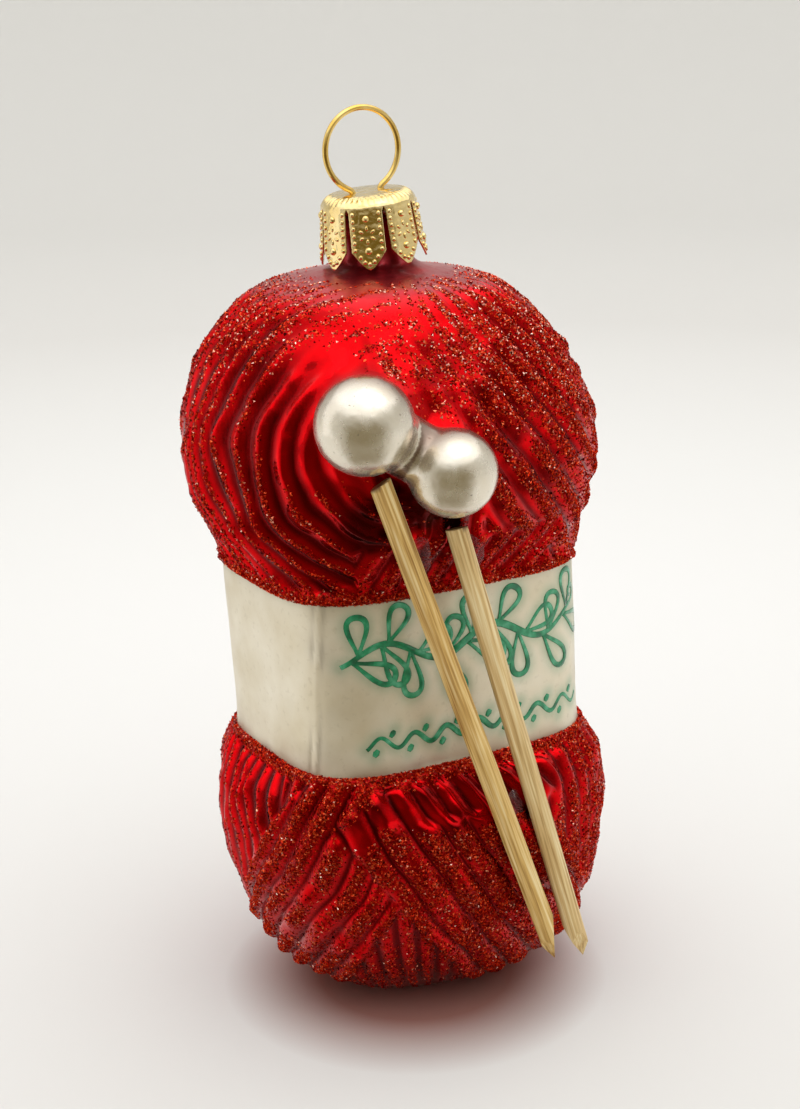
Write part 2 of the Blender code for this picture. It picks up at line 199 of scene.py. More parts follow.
# angle (degrees from the front towards -X) and height place a swath's centre, lean turns it from
# upright, strand_turn turns its ridges inside it, bend curves them (1/mm) round one middle. deep is
# their share of the depth; sharp goes from 0, round ropes, to 1, thin crests with broad troughs.
# grains is the share of glitter, and spread how far that comes down. Later swaths lie on top.
Swath = namedtuple(
    "Swath",
    "angle height half_long half_wide lean strand_turn bend pitch deep sharp lift grains spread",
)
SWATHS = (
    Swath(-78, 74, 25, 18, 12, 0, -0.015, 3.2, 0.5, 0.1, -0.4, 0.8, 0.7),
    Swath(-128, 77, 26, 15, 38, 0, 0.012, 3.1, 0.6, 0.2, -0.9, 0.8, 0.5),
    Swath(172, 76, 26, 16, -30, 0, 0.015, 3.0, 0.7, 0.2, 0.4, 0.8, 0.5),
    Swath(124, 76, 25, 12, 16, 0, -0.01, 2.9, 0.8, 0.6, 1.0, 0.8, 0.5),
    Swath(66, 77, 27, 19, 0, 0, 0.029, 3.0, 0.95, 0.7, 0.3, 0.95, 0.38),
    Swath(-27, 78, 25, 15, -38, 0, 0.006, 3.6, 1.0, 0.1, 0.9, 0.8, 0.45),
    Swath(3, 62, 5.0, 17, 0, 32, 0, 3.2, 0.8, 0.2, 0.6, 0.5, 0.5),
    Swath(101, 23, 18, 14, -4, 0, -0.012, 2.4, 0.8, 0.7, 0.1, 0.8, 0.3),
    Swath(-148, 21, 19, 14, -38, 0, 0.006, 3.3, 0.8, 0.1, 0.6, 0.8, 0.5),
    Swath(158, 20, 19, 12, 12, 0, -0.01, 3.0, 0.8, 0.2, 0.9, 0.8, 0.5),
    Swath(-95, 20, 19, 12, 34, 0, 0.01, 3.1, 0.7, 0.2, 1.0, 0.85, 0.5),
    Swath(-48, 22, 18, 12, -4, 0, 0.01, 3.0, 0.7, 0.2, 0.3, 0.8, 0.6),
    Swath(62, 18, 20, 10, 34, 0, -0.008, 3.1, 1.0, 0.1, 0.7, 0.95, 0.5),
    Swath(1, 19, 22, 12.5, -34, 0, 0.006, 3.8, 1.05, 0.0, 1.1, 1.0, 0.75),
    Swath(6, 32, 3.6, 15, 0, -30, 0, 3.0, 0.9, 0.3, 0.8, 0.05, 0.2),
)
# Patches of the glass: the angle and height of the middle, the half sizes in mm, and how much.
Patch = namedtuple("Patch", "angle height across up share")
DUSTED = (  # glitter on grooves and crests alike
    Patch(-30, 86, 22, 8, 0.55),
    Patch(-60, 72, 14, 20, 0.35),
    Patch(26, 88, 12, 7, 0.12),
    Patch(88, 92, 20, 6, 0.4),
    Patch(165, 90, 34, 9, 0.4),
    Patch(-4, 15, 16, 10, 0.55),
    Patch(-70, 20, 14, 16, 0.4),
    Patch(55, 8, 14, 6, 0.3),
)
BARE = (  # no glitter: glossy lacquer
    Patch(50, 82, 8, 10, 1.0),
    Patch(30, 91, 12, 4.5, 0.3),
    Patch(24, 74, 9, 6, 0.9),
    Patch(12, 82, 5, 4, 0.6),
    Patch(10, 31, 14, 3.0, 1.0),
    Patch(-26, 32, 6, 3.0, 0.9),
    Patch(34, 24, 6, 5, 0.25),
)
SMOOTH = (Patch(22, 90, 17, 7, 0.85), Patch(30, 79, 9, 9, 0.4))  # few ridges, soft waves
FULLER = (Patch(-50, 91, 16, 7, 0.4), Patch(95, 78, 14, 12, 0.2))  # blown out further, in mm
SHADED_PATCHES = (  # painted shade, darkest round and under the knobs
    Patch(20, 68, 11, 6, 0.9),
    Patch(-12, 71, 9, 8, 0.7),
    Patch(4, 85, 6, 5, 0.5),
    Patch(38, 84, 4, 8, 0.4),
    Patch(8, 31, 17, 4, 0.6),
)
RIDGE_DEPTH = 1.05
SINK = 0.85
SWATH_LIFT = 0.5
SWATH_RADIUS = 24.0
UPRIGHT_TURNS = 54  # the plain winding under the swaths
UPRIGHT_DEPTH = 0.6
BORDER = 1.3  # the width of the glitter crust along both edges of the band
CRUST = 0.35
WANDER_SIZE = 9.0  # lumps of noise that sway the strands, in mm
RIPPLE_SIZE = 3.6


def soft_step(value):
    t = np.clip(value, 0, 1)
    return t * t * (3 - 2 * t)


def noise_at(points, size, seed=0.0):
    """Smooth noise from -1 to 1 whose lumps are about size across, in the points' own unit."""
    return np.array([noise.noise(Vector(p) / size + Vector((seed, 7.3, 1.9))) for p in points])


def from_place(angle, run, place):
    """(right, up) in mm along the glass from a swath's or patch's middle, seen from outside."""
    turn = (angle - radians(place.angle) + pi) % tau - pi
    return -turn * SWATH_RADIUS, run - run_at(place.height)


def strongest(angle, run, patches):
    """The share of the patches at each place, soft towards their edges."""
    share = np.zeros(len(angle))
    for patch in patches:
        right, up = from_place(angle, run, patch)
        inside = 1.25 - np.hypot(right / patch.across, up / patch.up)
        share = np.maximum(share, patch.share * soft_step(inside / 0.5))
    return share


def strands(swath, angle, run, sway):
    """(inside, turns): how far each place is in the swath, and its ridges, 1 at their crests."""
    right, up = from_place(angle, run, swath)
    lean, strand_turn = radians(swath.lean), radians(swath.strand_turn)
    along = right * sin(lean) + up * cos(lean)
    across = right * cos(lean) - up * sin(lean)
    inside = soft_step((swath.half_long - np.abs(along)) / 2.0)
    inside = inside * soft_step((swath.half_wide - np.abs(across)) / 1.2)
    inside = inside * ((run > sum(BAND_RUNS) / 2) == (swath.height > BAND[1]))
    strand_along = across * sin(strand_turn) + along * cos(strand_turn)
    strand_across = across * cos(strand_turn) - along * sin(strand_turn)
    if swath.bend:
        radius = 0.5 / swath.bend
        strand_across = radius - copysign(1, radius) * np.hypot(radius - strand_across, strand_along)
    count = (strand_across + sway) / swath.pitch
    off = np.abs(2 * (count - np.round(count)))
    return inside, (1 - swath.sharp) * (1 - off**2) + swath.sharp * (1 - off) ** 2


def yarn(angle, run):
    """(raised, painted shade, grains) of the yarn's glass: mm off the outline, and shares from 0 to 1."""
    plain = on_glass(angle, run)
    wander, ripple = noise_at(plain, WANDER_SIZE), noise_at(plain, RIPPLE_SIZE, 4.4)
    crest = 0.5 + 0.5 * np.cos(UPRIGHT_TURNS * angle)
    height = UPRIGHT_DEPTH * crest
    grains = 0.35 * soft_step((crest - 0.6) / 0.3)
    for swath in SWATHS:
        inside, turns = strands(swath, angle, run, 0.9 * wander + 0.2 * ripple)
        here = RIDGE_DEPTH * swath.deep * turns * (0.9 + 0.4 * ripple) + SWATH_LIFT * swath.lift
        on_turns = swath.grains * soft_step((turns - 1 + swath.spread) / 0.3)
        height = height + (here - height) * inside
        crest = crest + (turns - crest) * inside
        grains = grains + (on_turns - grains) * inside
    # the ridges fade out towards the flat spot, the neck and the knobs, where soft swells are left
    past = off_the_knobs(plain)
    smooth = strongest(angle, run, SMOOTH)
    calm = (1 - 0.65 * np.exp(-np.maximum(past, 0) / CALM_REACH)) * (1 - smooth)
    fades = soft_step((run - FLAT_SPOT - 1.5) / 15) * soft_step((YARN_END - 3 - run) / 8)
    swells = 0.35 * wander + (0.12 + 0.3 * smooth) * ripple + strongest(angle, run, FULLER)
    swells = swells * soft_step((run - FLAT_SPOT - 3) / 5) * soft_step((YARN_END - 1 - run) / 5)
    raised = (height * calm - SINK) * fades + swells
    # a crust of glitter borders the band, under which the glass dips
    to_band = np.minimum(np.abs(run - BAND_RUNS[0]), np.abs(run - BAND_RUNS[1]))
    edge = soft_step((BORDER + 0.4 * wander - to_band) / 0.5)
    raised = raised * soft_step(to_band / 1.0) + CRUST * edge
    swell = SWELL * np.exp(-np.maximum(past, 0) / SWELL_REACH)
    raised = raised + swell * soft_step((YARN_END - run) / 8)
    raised = np.where((run > BAND_RUNS[0]) & (run < BAND_RUNS[1]), CRUST - to_band, raised)
    patches = soft_step(0.85 + 1.4 * noise_at(plain, 5.0, 3.1))
    dusted = strongest(angle, run, DUSTED) * (0.15 + 0.85 * crest)
    grains = np.maximum(grains * patches, dusted) * (1 - strongest(angle, run, BARE))
    grains = grains * soft_step((run - FLAT_SPOT - 2.5) / 3) * soft_step((YARN_END + 1 - run) / 4)
    # painted shade: the lacquer is darkened in the grooves between the crests and in patches round and under
    # the knobs
    groove_shade = 0.85 * soft_step((0.55 - crest) / 0.45) * fades * calm
    green_pools_and_shade_patches = strongest(angle, run, SHADED_PATCHES) * soft_step(0.6 + 1.8 * ripple)
    green_pools_and_painted_shade = np.maximum(groove_shade, green_pools_and_shade_patches) * (1 - edge)
    return raised, green_pools_and_painted_shade, np.maximum(grains * soft_step((past - 0.5) / 1.5), edge)


def object_of(name, bm, *materials):
    """Turns a bmesh in millimetres into a smooth object in metres."""
    bmesh.ops.scale(bm, vec=(MM, MM, MM), verts=bm.verts)
    mesh = bpy.data.meshes.new(name)
    bm.to_mesh(mesh)
    bm.free()
    for each in materials:
        mesh.materials.append(each)
    mesh.shade_smooth()
    return in_scene(name, mesh)


def add_attribute(mesh, name, values, kind="FLOAT"):
    made = mesh.attributes.new(name, kind, "POINT")
    field = "value" if kind == "FLOAT" else "vector"
    made.data.foreach_set(field, np.asarray(values, dtype=np.float32).ravel())


def put(bm, places):
    for vert, place in zip(bm.verts, places):
        vert.co = place


def pressed_skin(name, runs, columns, press, look):
    """The glass along the given runs, all the way round, pressed out by press(angle, run)."""
    bm = bmesh.new()
    bmesh.ops.create_grid(bm, x_segments=columns, y_segments=len(runs) - 1, size=0.5)
    angle_layer = bm.verts.layers.float.new("angle")
    run_layer = bm.verts.layers.float.new("run")
    for vert in bm.verts:
        vert[angle_layer] = tau * vert.co.x
        vert[run_layer] = runs[round((vert.co.y + 0.5) * (len(runs) - 1))]

    def where():
        return np.array([(vert[angle_layer], vert[run_layer]) for vert in bm.verts]).T

    put(bm, on_glass(*where()))
    bmesh.ops.remove_doubles(bm, verts=bm.verts, dist=1e-4)  # closes the seam, and the pole if any
    angle, run = where()
    raised, *extras = press(angle, run)
    put(bm, on_glass(angle, run, raised))
    bmesh.ops.holes_fill(bm, edges=[edge for edge in bm.edges if edge.is_boundary], sides=0)
    bmesh.ops.recalc_face_normals(bm, faces=bm.faces)
    for layer in ("angle", "run"):
        bm.verts.layers.float.remove(bm.verts.layers.float[layer])
    return object_of(name, bm, look), angle, run, extras


# ---- red lacquer over silvered glass ----
# The glass is silvered inside and sprayed outside with a clear ruby lacquer: it mirrors the room
# in pure reds, from bright highlights to near black. Dried glue dulls it where the glitter lies.
# Painted shade darkens its grooves and the glass round and under the knobs, and a painted pink
# sheen lies where the lacquer is frosted towards the neck.


def linear(hex_colour):
    """A linear RGBA colour from an sRGB hex string."""
    parts = [int(hex_colour[i : i + 2], 16) / 255 for i in (1, 3, 5)]
    return (*(c / 12.92 if c <= 0.04045 else ((c + 0.055) / 1.055) ** 2.4 for c in parts), 1)


def feed(node, inputs):
    """Gives a node's inputs their values, their hex colours or the outputs to link to them."""
    for name, value in inputs.items():
        if isinstance(value, bpy.types.NodeSocket):
            node.id_data.links.new(value, node.inputs[name])
        else:
            node.inputs[name].default_value = linear(value) if isinstance(value, str) else value


def new_finish(name, **values):
    """(material, its node tree, its Principled shader) with values on the shader's sockets."""
    made = bpy.data.materials.new(name)
    made.use_nodes = True
    shader = made.node_tree.nodes["Principled BSDF"]
    feed(shader, {socket.replace("_", " "): value for socket, value in values.items()})
    return made, made.node_tree, shader


def add_node(tree, kind, output, inputs, stops=(), **settings):
    """Adds a node with its settings, inputs and a ramp's (position, colour) stops: one output."""
    made = tree.nodes.new("ShaderNode" + kind)
    for name, value in settings.items():
        setattr(made, name, value)
    feed(made, inputs)
    for _ in stops[2:]:
        made.color_ramp.elements.new(0.5)
    for index, (position, colour) in enumerate(stops):
        made.color_ramp.elements[index].position = position
        made.color_ramp.elements[index].color = linear(colour)
    return made.outputs[output]


def coated(tree, base, *coats):
    """The base colour under each (share, colour) coat in turn."""
    for share, colour in coats:
        inputs = {0: share, 6: base, 7: colour}  # a colour mix's own sockets
        base = add_node(tree, "Mix", 2, inputs, data_type="RGBA")
    return base


def drifting(tree, place, size, detail, low, high, start=0.3, stop=0.7):
    """A number or hex colour that drifts from low to high, in lumps of about size in mm."""
    lumps = {"Vector": place, "Scale": 1 / (size * MM), "Detail": detail}
    lumps = add_node(tree, "TexNoise", "Fac", lumps)
    if isinstance(low, str):
        return add_node(tree, "ValToRGB", "Color", {"Fac": lumps}, ((start, low), (stop, high)))
    inputs = {"Value": lumps, "From Min": start, "From Max": stop, "To Min": low, "To Max": high}
    return add_node(tree, "MapRange", "Result", inputs)


def uneven(tree, place, *waves):
    """The normal of a surface with waves of (size, detail, depth), in mm, from coarse to fine."""
    normal = {}
    for size, detail, depth in waves:
        lumps = {"Vector": place, "Scale": 1 / (size * MM), "Detail": detail}
        lumps = add_node(tree, "TexNoise", "Fac", lumps)
        inputs = {"Height": lumps, "Distance": depth * MM, **normal}
        normal = {"Normal": add_node(tree, "Bump", "Normal", inputs)}
    return normal["Normal"]


SPECK = 0.26  # mm, a grain of the finest glitter
SPECK_TINTS = ((0.0, "#4A0000"), (0.45, "#8E0804"), (0.78, "#D83012"), (0.94, "#F86838"), (1.0, "#FFC0A0"))
ruby_lacquer, tree, shader = new_finish("ruby_lacquer_on_silvered_glass", Metallic=1.0, Coat_Roughness=0.15)
place = add_node(tree, "TexCoord", "Object", {})
grains, frost_and_painted_sheen, green_pools_and_painted_shade = (
    add_node(tree, "Attribute", "Fac", {}, attribute_name=name) for name in ("grains", "frost_and_painted_sheen", "green_pools_and_painted_shade")
)
under_grains = add_node(tree, "MapRange", "Result", {"Value": grains, "To Max": 0.6})
red = drifting(tree, place, 4.0, 3.0, "#C80006", "#E6000A")
# coats over the red: painted shade, a painted pink sheen where the lacquer is frosted, and dull glue under
# the glitter
red = coated(tree, red, (green_pools_and_painted_shade, "#340002"), (frost_and_painted_sheen, "#B03038"), (under_grains, "#5A0A08"))
# the finest glitter is in the finish: cells a quarter of a millimetre across, each with a tint and
# a tilt of its own, so that one flashes orange while its neighbour stays dark
speck = add_node(tree, "TexVoronoi", "Color", {"Vector": place, "Scale": 1 / (SPECK * MM)})
cell = add_node(tree, "SeparateXYZ", "X", {"Vector": speck}).node.outputs
speck_tint = add_node(tree, "ValToRGB", "Color", {"Fac": cell["X"]}, SPECK_TINTS)
held = add_node(tree, "MapRange", "Result", {"Value": grains, "To Max": 0.55})
held = add_node(tree, "Math", 0, {0: cell["Y"], 1: held}, operation="LESS_THAN")
dull = add_node(tree, "Math", 0, {0: frost_and_painted_sheen, 1: grains}, operation="MAXIMUM")
rough = add_node(tree, "MapRange", "Result", {"Value": dull, "To Min": 0.12, "To Max": 0.4})
rough = add_node(tree, "Math", 0, {0: rough, 1: held}, operation="MAXIMUM")
rough = add_node(tree, "Math", 0, {0: rough, 1: 0.45}, operation="MINIMUM")
waves = uneven(tree, place, (3.4, 1.0, 0.32), (0.5, 2.0, 0.015))
tilt = add_node(tree, "VectorMath", 0, {0: speck, 1: (0.5, 0.5, 0.5)}, operation="SUBTRACT")
tilt = add_node(tree, "VectorMath", 0, {0: tilt, "Scale": held}, operation="SCALE")
tilt = add_node(tree, "VectorMath", 0, {0: tilt, 1: (1.1, 1.1, 1.1), 2: waves}, operation="MULTIPLY_ADD")
facet = add_node(tree, "VectorMath", 0, {0: tilt}, operation="NORMALIZE")
coat = add_node(tree, "MapRange", "Result", {"Value": frost_and_painted_sheen, "To Min": 0.08, "To Max": 0.3})
feed(shader, {"Base Color": coated(tree, red, (held, speck_tint)), "Roughness": rough})
feed(shader, {"Coat Weight": coat, "Normal": facet})

COLUMNS = 420
ROW = 0.4
TUCK = 0.6  # the yarn's skins reach this far under the band
lower_runs = [*np.linspace(0, FLAT_SPOT, 9), *np.arange(FLAT_SPOT + ROW, BAND_RUNS[0] + TUCK, ROW)]
upper_runs = np.arange(BAND_RUNS[1] - TUCK, NECK_END, ROW)
yarn_skins = []
for name, runs in (("lower_yarn", lower_runs), ("upper_yarn", upper_runs)):
    skin, angle, run, (green_pools_and_painted_shade, grains) = pressed_skin(name, runs, COLUMNS, yarn, ruby_lacquer)
    add_attribute(skin.data, "grains", grains)
    add_attribute(skin.data, "green_pools_and_painted_shade", green_pools_and_painted_shade)
    # towards the neck the lacquer is frosted: rougher, and with a painted pink sheen
    add_attribute(skin.data, "frost_and_painted_sheen", soft_step((run - YARN_END + 9) / 8))
    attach(skin, "root")
    yarn_skins.append(skin)
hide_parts("glass_body")

# ---- the band round the waist ----
# A paper band in the mould's form, sprayed with satin cream pearl lacquer over the silvering: it
# is smooth and softly mirrors the room. Its fold shows as a thin pale strip at each corner.

BAND_COLUMNS = 480
BAND_ROW = 0.45
BAND_RADIUS = 25.0  # near its corners
FOLDS = (57.5, 122.5, -57.5, -122.5)  # degrees, at half the band's height
FOLD_DRIFT = 0.28  # degrees for each mm of height
FOLD_WIDTH = 0.7


def band_relief(angle, run):
    """(raised, distance from the nearest fold's middle) in mm."""
    (height,) = outline_at(run, "height")
    nearest = np.full(len(angle), FAR)
    for fold in FOLDS:
        drift = copysign(FOLD_DRIFT, fold) if abs(fold) < 90 else 0.0
        middle = np.radians(fold - drift * (height - BAND_MIDDLE))
        turn = (angle - middle + pi) % tau - pi
        nearest = np.minimum(nearest, np.abs(turn) * BAND_RADIUS)
    strip = 0.05 * soft_step((FOLD_WIDTH / 2 - nearest) / 0.4 + 0.5)
    return strip + 0.1 * noise_at(on_glass(angle, run), 8.0, 5.0), nearest


pearl_cream, tree, shader = new_finish(
    "cream_pearl_lacquer_on_silvered_glass", Metallic=0.55, Coat_Weight=0.15, Coat_Roughness=0.3
)
place = add_node(tree, "TexCoord", "Object", {})
specks = drifting(tree, place, 0.8, 2.0, 0.0, 0.25, 0.6, 0.75)
stain_and_shade, overspray, painted_green_reflection = (
    add_node(tree, "Attribute", "Fac", {}, attribute_name=name) for name in ("stain_and_shade", "overspray", "painted_green_reflection")
)
cream = drifting(tree, place, 7.0, 4.0, "#DCD0B4", "#EEE6D2")
cream = coated(
    tree, cream, (specks, "#B9AC8E"), (stain_and_shade, "#7E7058"), (overspray, "#8A4A34"), (painted_green_reflection, "#7FA585")
)
rough = drifting(tree, place, 3.0, 3.0, 0.3, 0.44)
dents = uneven(tree, place, (5.0, 1.0, 0.15), (0.4, 2.0, 0.012))
feed(shader, {"Base Color": cream, "Roughness": rough, "Normal": dents})

band_runs = np.arange(BAND_RUNS[0] - 0.4, BAND_RUNS[1] + 0.4, BAND_ROW)
band, angle, run, (fold,) = pressed_skin("band", band_runs, BAND_COLUMNS, band_relief, pearl_cream)
to_edge = np.minimum(run - BAND_RUNS[0], BAND_RUNS[1] - run)
patches = noise_at(on_glass(angle, run), 4.0, 9.0)
# stains: faint dark lines beside each fold, and mottled patches near it
stain_and_shade = 0.3 * np.exp(-(((fold - 0.75) / 0.3) ** 2)) * soft_step(0.6 + patches)
stain_and_shade = stain_and_shade + 0.35 * np.exp(-fold / 2.5) * soft_step(patches + 0.3) * (fold > 0.4)
# painted shade: darker towards both edges of the band, where it meets the crust of glitter
stain_and_shade = stain_and_shade + 0.5 * np.exp(-to_edge / 0.9)
add_attribute(band.data, "stain_and_shade", np.clip(stain_and_shade, 0, 0.9))
overspray = np.exp(-(run - BAND_RUNS[0]) / 1.3) * soft_step(0.5 + 1.5 * patches)
add_attribute(band.data, "overspray", np.clip(0.6 * overspray, 0, 1))
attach(band, "root")

# ---- the painted ornament on the band ----
# A sprig of leaves over a wavy line with dashes, in the long loops of a lining brush: green glass
# paint about 1 mm wide, thin enough to show the pearl through it and darker where it pools.

band_angles = np.linspace(0.5 * pi, -0.5 * pi, 721)
band_spots = on_glass(band_angles, np.full(721, run_at(BAND_MIDDLE)))
band_lengths = np.concatenate([[0], np.cumsum(np.linalg.norm(np.diff(band_spots, axis=0), axis=1))])
band_lengths = band_lengths - np.interp(0, -band_angles, band_lengths)


def onto_band(across, height, raised):
    """Points on the band from mm to the right of the front's middle, height and mm off the glass."""
    angle = np.interp(across, band_lengths, band_angles)
    return on_glass(angle, np.array([run_at(each) for each in height]), raised)


strokes = []


def stroke(points, width):
    """One pull of the brush through (across, height) points: it swells and runs out thin."""
    points = np.array(points)
    share = np.linspace(0, 1, len(points))
    swell = 0.35 + 0.65 * np.sin(pi * np.clip(share, 0.06, 0.94)) ** 0.5
    wobble = np.array([1 + 0.18 * noise.noise((5 * s, len(strokes) * 3.7, 0)) for s in share])
    strokes.append((points, width / 2 * swell * wobble))


def curl(start, way, length, turn, count=26):
    """Points that leave start along way (degrees) and turn ever more, by turn degrees in all."""
    ways = np.radians(way + turn * np.linspace(0, 1, count) ** 1.6)
    steps = np.column_stack([np.cos(ways), np.sin(ways)]) * length / count
    return np.array(start) + np.cumsum(steps, axis=0)


def leaf(start, way, length, fat):
    """A leaf as one loop of the brush, out along way and back to start."""
    t = np.linspace(0, 1, 34)
    along = length * np.sin(pi * t) ** 0.8
    across = fat * np.sin(tau * t)
    c, s = cos(radians(way)), sin(radians(way))
    return np.column_stack([start[0] + along * c - across * s, start[1] + along * s + across * c])


SPRIG_HEIGHT = 51.0
SPRIG_WAVE = 15.0
SPRIG_SWING = 1.5
SPRIG_END = 17.3
LEAF_PITCH = 3.9
LEAF_LENGTH = 5.6
LINE_HEIGHT = 39.4
LINE_WAVE = 4.6
LINE_START = -14.5


def sprig_at(across):
    return SPRIG_HEIGHT + SPRIG_SWING * np.sin(tau * across / SPRIG_WAVE)


stem = np.linspace(-17.0, 17.5, 120)
stroke(np.column_stack([stem, sprig_at(stem)]), 1.0)
for k, across in enumerate(np.arange(-15.2, 16.5, LEAF_PITCH)):
    slope = degrees(atan2(sprig_at(across + 0.5) - sprig_at(across - 0.5), 1.0))
    for side in (1, -1):
        start = (across + 0.5 * side, float(sprig_at(across + 0.5 * side)))
        stroke(leaf(start, slope + side * (58 + 6 * (k % 2)), LEAF_LENGTH - 0.5 * side, 1.25), 0.8)
stroke(curl((SPRIG_END, float(sprig_at(SPRIG_END))), 20, 5.5, 330), 0.7)
line = np.linspace(LINE_START, 18.5, 160)
stroke(np.column_stack([line, LINE_HEIGHT + 0.8 * np.sin(tau * line / LINE_WAVE)]), 0.8)
for k in range(14):
    across = LINE_START + LINE_WAVE / 4 + LINE_WAVE / 2 * k
    height = LINE_HEIGHT + (1.15 if k % 2 else -1.15)
    stroke([(across + 0.1 * i, height + 0.14 * i) for i in range(-3, 4)], 0.85)

PAINT_THICKNESS = 0.09
curve = bpy.data.curves.new("painted_strokes", "CURVE")
curve.dimensions = "3D"
curve.bevel_depth = 1.0
curve.bevel_resolution = 2
curve.use_fill_caps = True
for points, radii in strokes:
    spline = curve.splines.new("POLY")
    spline.points.add(len(points) - 1)
    for point, (across, height), radius in zip(spline.points, points, radii):
        point.co = (across, 0, height, 1)
        point.radius = radius
tubes = in_scene("painted_strokes", curve)
bm = bmesh.new()
bm.from_mesh(bpy.data.meshes.new_from_object(tubes.evaluated_get(bpy.context.evaluated_depsgraph_get())))
bpy.data.objects.remove(tubes)
bmesh.ops.remove_doubles(bm, verts=bm.verts, dist=1e-4)
spots = np.array([vert.co for vert in bm.verts])
thick = np.sign(spots[:, 1]) * np.abs(spots[:, 1]) ** 0.6 * PAINT_THICKNESS
put(bm, onto_band(spots[:, 0], spots[:, 2], 0.03 - thick))
bmesh.ops.recalc_face_normals(bm, faces=bm.faces)

glass_paint, tree, shader = new_finish("green_glass_paint", Roughness=0.25, Coat_Weight=0.5, Metallic=0.25)
place = add_node(tree, "TexCoord", "Object", {})
green_pools_and_shade_patches = add_node(tree, "TexNoise", "Fac", {"Vector": place, "Scale": 1 / (1.6 * MM), "Detail": 3.0})
greens = ((0.3, "#0B5A3A"), (0.5, "#1C8A5A"), (0.72, "#5DB08A"))
green_pools_and_painted_shade = add_node(tree, "Bump", "Normal", {"Height": green_pools_and_shade_patches, "Distance": 0.03 * MM})
feed(shader, {"Base Color": add_node(tree, "ValToRGB", "Color", {"Fac": green_pools_and_shade_patches}, greens), "Normal": green_pools_and_painted_shade})
paint = object_of("painted_vine", bm, glass_paint)
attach(paint, "root")

# painted reflection: the paint's green is painted onto the pearl about it, as the silvering under the pearl
# would mirror it
painted = [tuple(spot) for points, _ in strokes for spot in onto_band(points[:, 0], points[:, 1], 0.0)]
tree_of_spots = kdtree.KDTree(len(painted))
for index, spot in enumerate(painted):
    tree_of_spots.insert(spot, index)
tree_of_spots.balance()
near = np.array([tree_of_spots.find(vert.co / MM)[2] for vert in band.data.vertices])
add_attribute(band.data, "painted_green_reflection", 0.55 * np.exp(-((near / 1.1) ** 2)))

# ---- the two pearl knobs ----
# Balls blown out of the glass, close enough to run together, and dipped in white pearl lacquer:
# a soft satin mirror. The red lacquer laps over their collars in a thin brownish edge.

KNOB_VOXEL = 0.28
ROUNDINGS = 40
WEB_RADII = (4.0, 3.6)
WEB_DEPTH = 1.9


def pointing(way):
    """The turn that takes +Z to a way."""
    return Vector((0, 0, 1)).rotation_difference(way).to_matrix().to_4x4()


bm = bmesh.new()
for knob in KNOBS:
    at = Matrix.Translation(Vector(knob.centre)) @ pointing(Vector(knob.facing))
    bmesh.ops.create_uvsphere(bm, u_segments=64, v_segments=40, radius=knob.radius, matrix=at)
    size = {"radius1": 0.98 * knob.radius, "radius2": 0.62 * knob.radius, "depth": 0.9 * knob.radius}
    collar = at @ Matrix.Translation((0, 0, -0.72 * knob.radius))
    bmesh.ops.create_cone(bm, cap_ends=True, segments=64, matrix=collar, **size)
left, right = (Vector(knob.centre) for knob in KNOBS)
between = Matrix.Translation((left + right) / 2 - Vector(KNOBS[0].facing) * WEB_DEPTH)
size = {"radius1": WEB_RADII[0], "radius2": WEB_RADII[1], "depth": (right - left).length}
bmesh.ops.create_cone(bm, cap_ends=True, segments=48, matrix=between @ pointing(right - left), **size)

# one closed skin over the overlapping forms, with its inner corners rounded
forms = object_of("knob_forms", bm)
remesh = forms.modifiers.new("one_skin", "REMESH")
remesh.mode = "VOXEL"
remesh.voxel_size = KNOB_VOXEL * MM
forms.modifiers.new("rounded_corners", "SMOOTH").iterations = ROUNDINGS
mesh = bpy.data.meshes.new_from_object(forms.evaluated_get(bpy.context.evaluated_depsgraph_get()))
bpy.data.objects.remove(forms)

pearl_white, tree, shader = new_finish(
    "white_pearl_lacquer_on_silvered_glass", Metallic=0.84, Coat_Weight=0.3, Coat_Roughness=0.15
)
place = add_node(tree, "TexCoord", "Object", {})
dust = drifting(tree, place, 0.45, 1.0, 0.0, 0.6, 0.72, 0.78)
browner_top, collar = (add_node(tree, "Attribute", "Fac", {}, attribute_name=name) for name in ("browner_top", "collar"))
pearl = drifting(tree, place, 3.0, 3.0, "#E2D8C4", "#EEE7D8")
pearl = coated(tree, pearl, (dust, "#6E6450"), (browner_top, "#6E4A3A"), (collar, "#7A2A20"))
rough = drifting(tree, place, 1.5, 2.0, 0.2, 0.3)
feed(shader, {"Base Color": pearl, "Roughness": rough, "Normal": uneven(tree, place, (3.0, 2.0, 0.16))})

mesh.materials.clear()
mesh.materials.append(pearl_white)
mesh.shade_smooth()
knobs = in_scene("pearl_knobs", mesh)
spots = np.array([vert.co for vert in mesh.vertices]) / MM
lapped, browner_tops = np.ones(len(spots)), np.ones(len(spots))
for knob in KNOBS:
    from_centre = (spots - np.array(knob.centre)) / knob.radius
    depth = from_centre @ np.array(Vector(knob.facing).normalized())
    away = np.linalg.norm(from_centre, axis=1)
    # each knob turns browner over its upper part, away from the point that faces out most
    top = soft_step((0.85 - depth) / 0.6) * soft_step(from_centre[:, 2] / 0.9)
    lapped = np.minimum(lapped, np.where(away < 1.35, soft_step((-0.62 - depth) / 0.15), 1))
    browner_tops = np.minimum(browner_tops, np.where(away < 1.1, top, 1))
add_attribute(mesh, "collar", 0.85 * lapped)
add_attribute(mesh, "browner_top", 0.8 * browner_tops)
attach(knobs, "root")

# ---- glitter on the yarn ----
# Coarse red glass glitter, flakes of 0.2 to 0.5 mm, shaken onto clear glue along the yarn's crests
# and in a thick crust on both edges of the band. A few flakes, more of them towards the top, are
# tinted pale pink or white as painted glints.

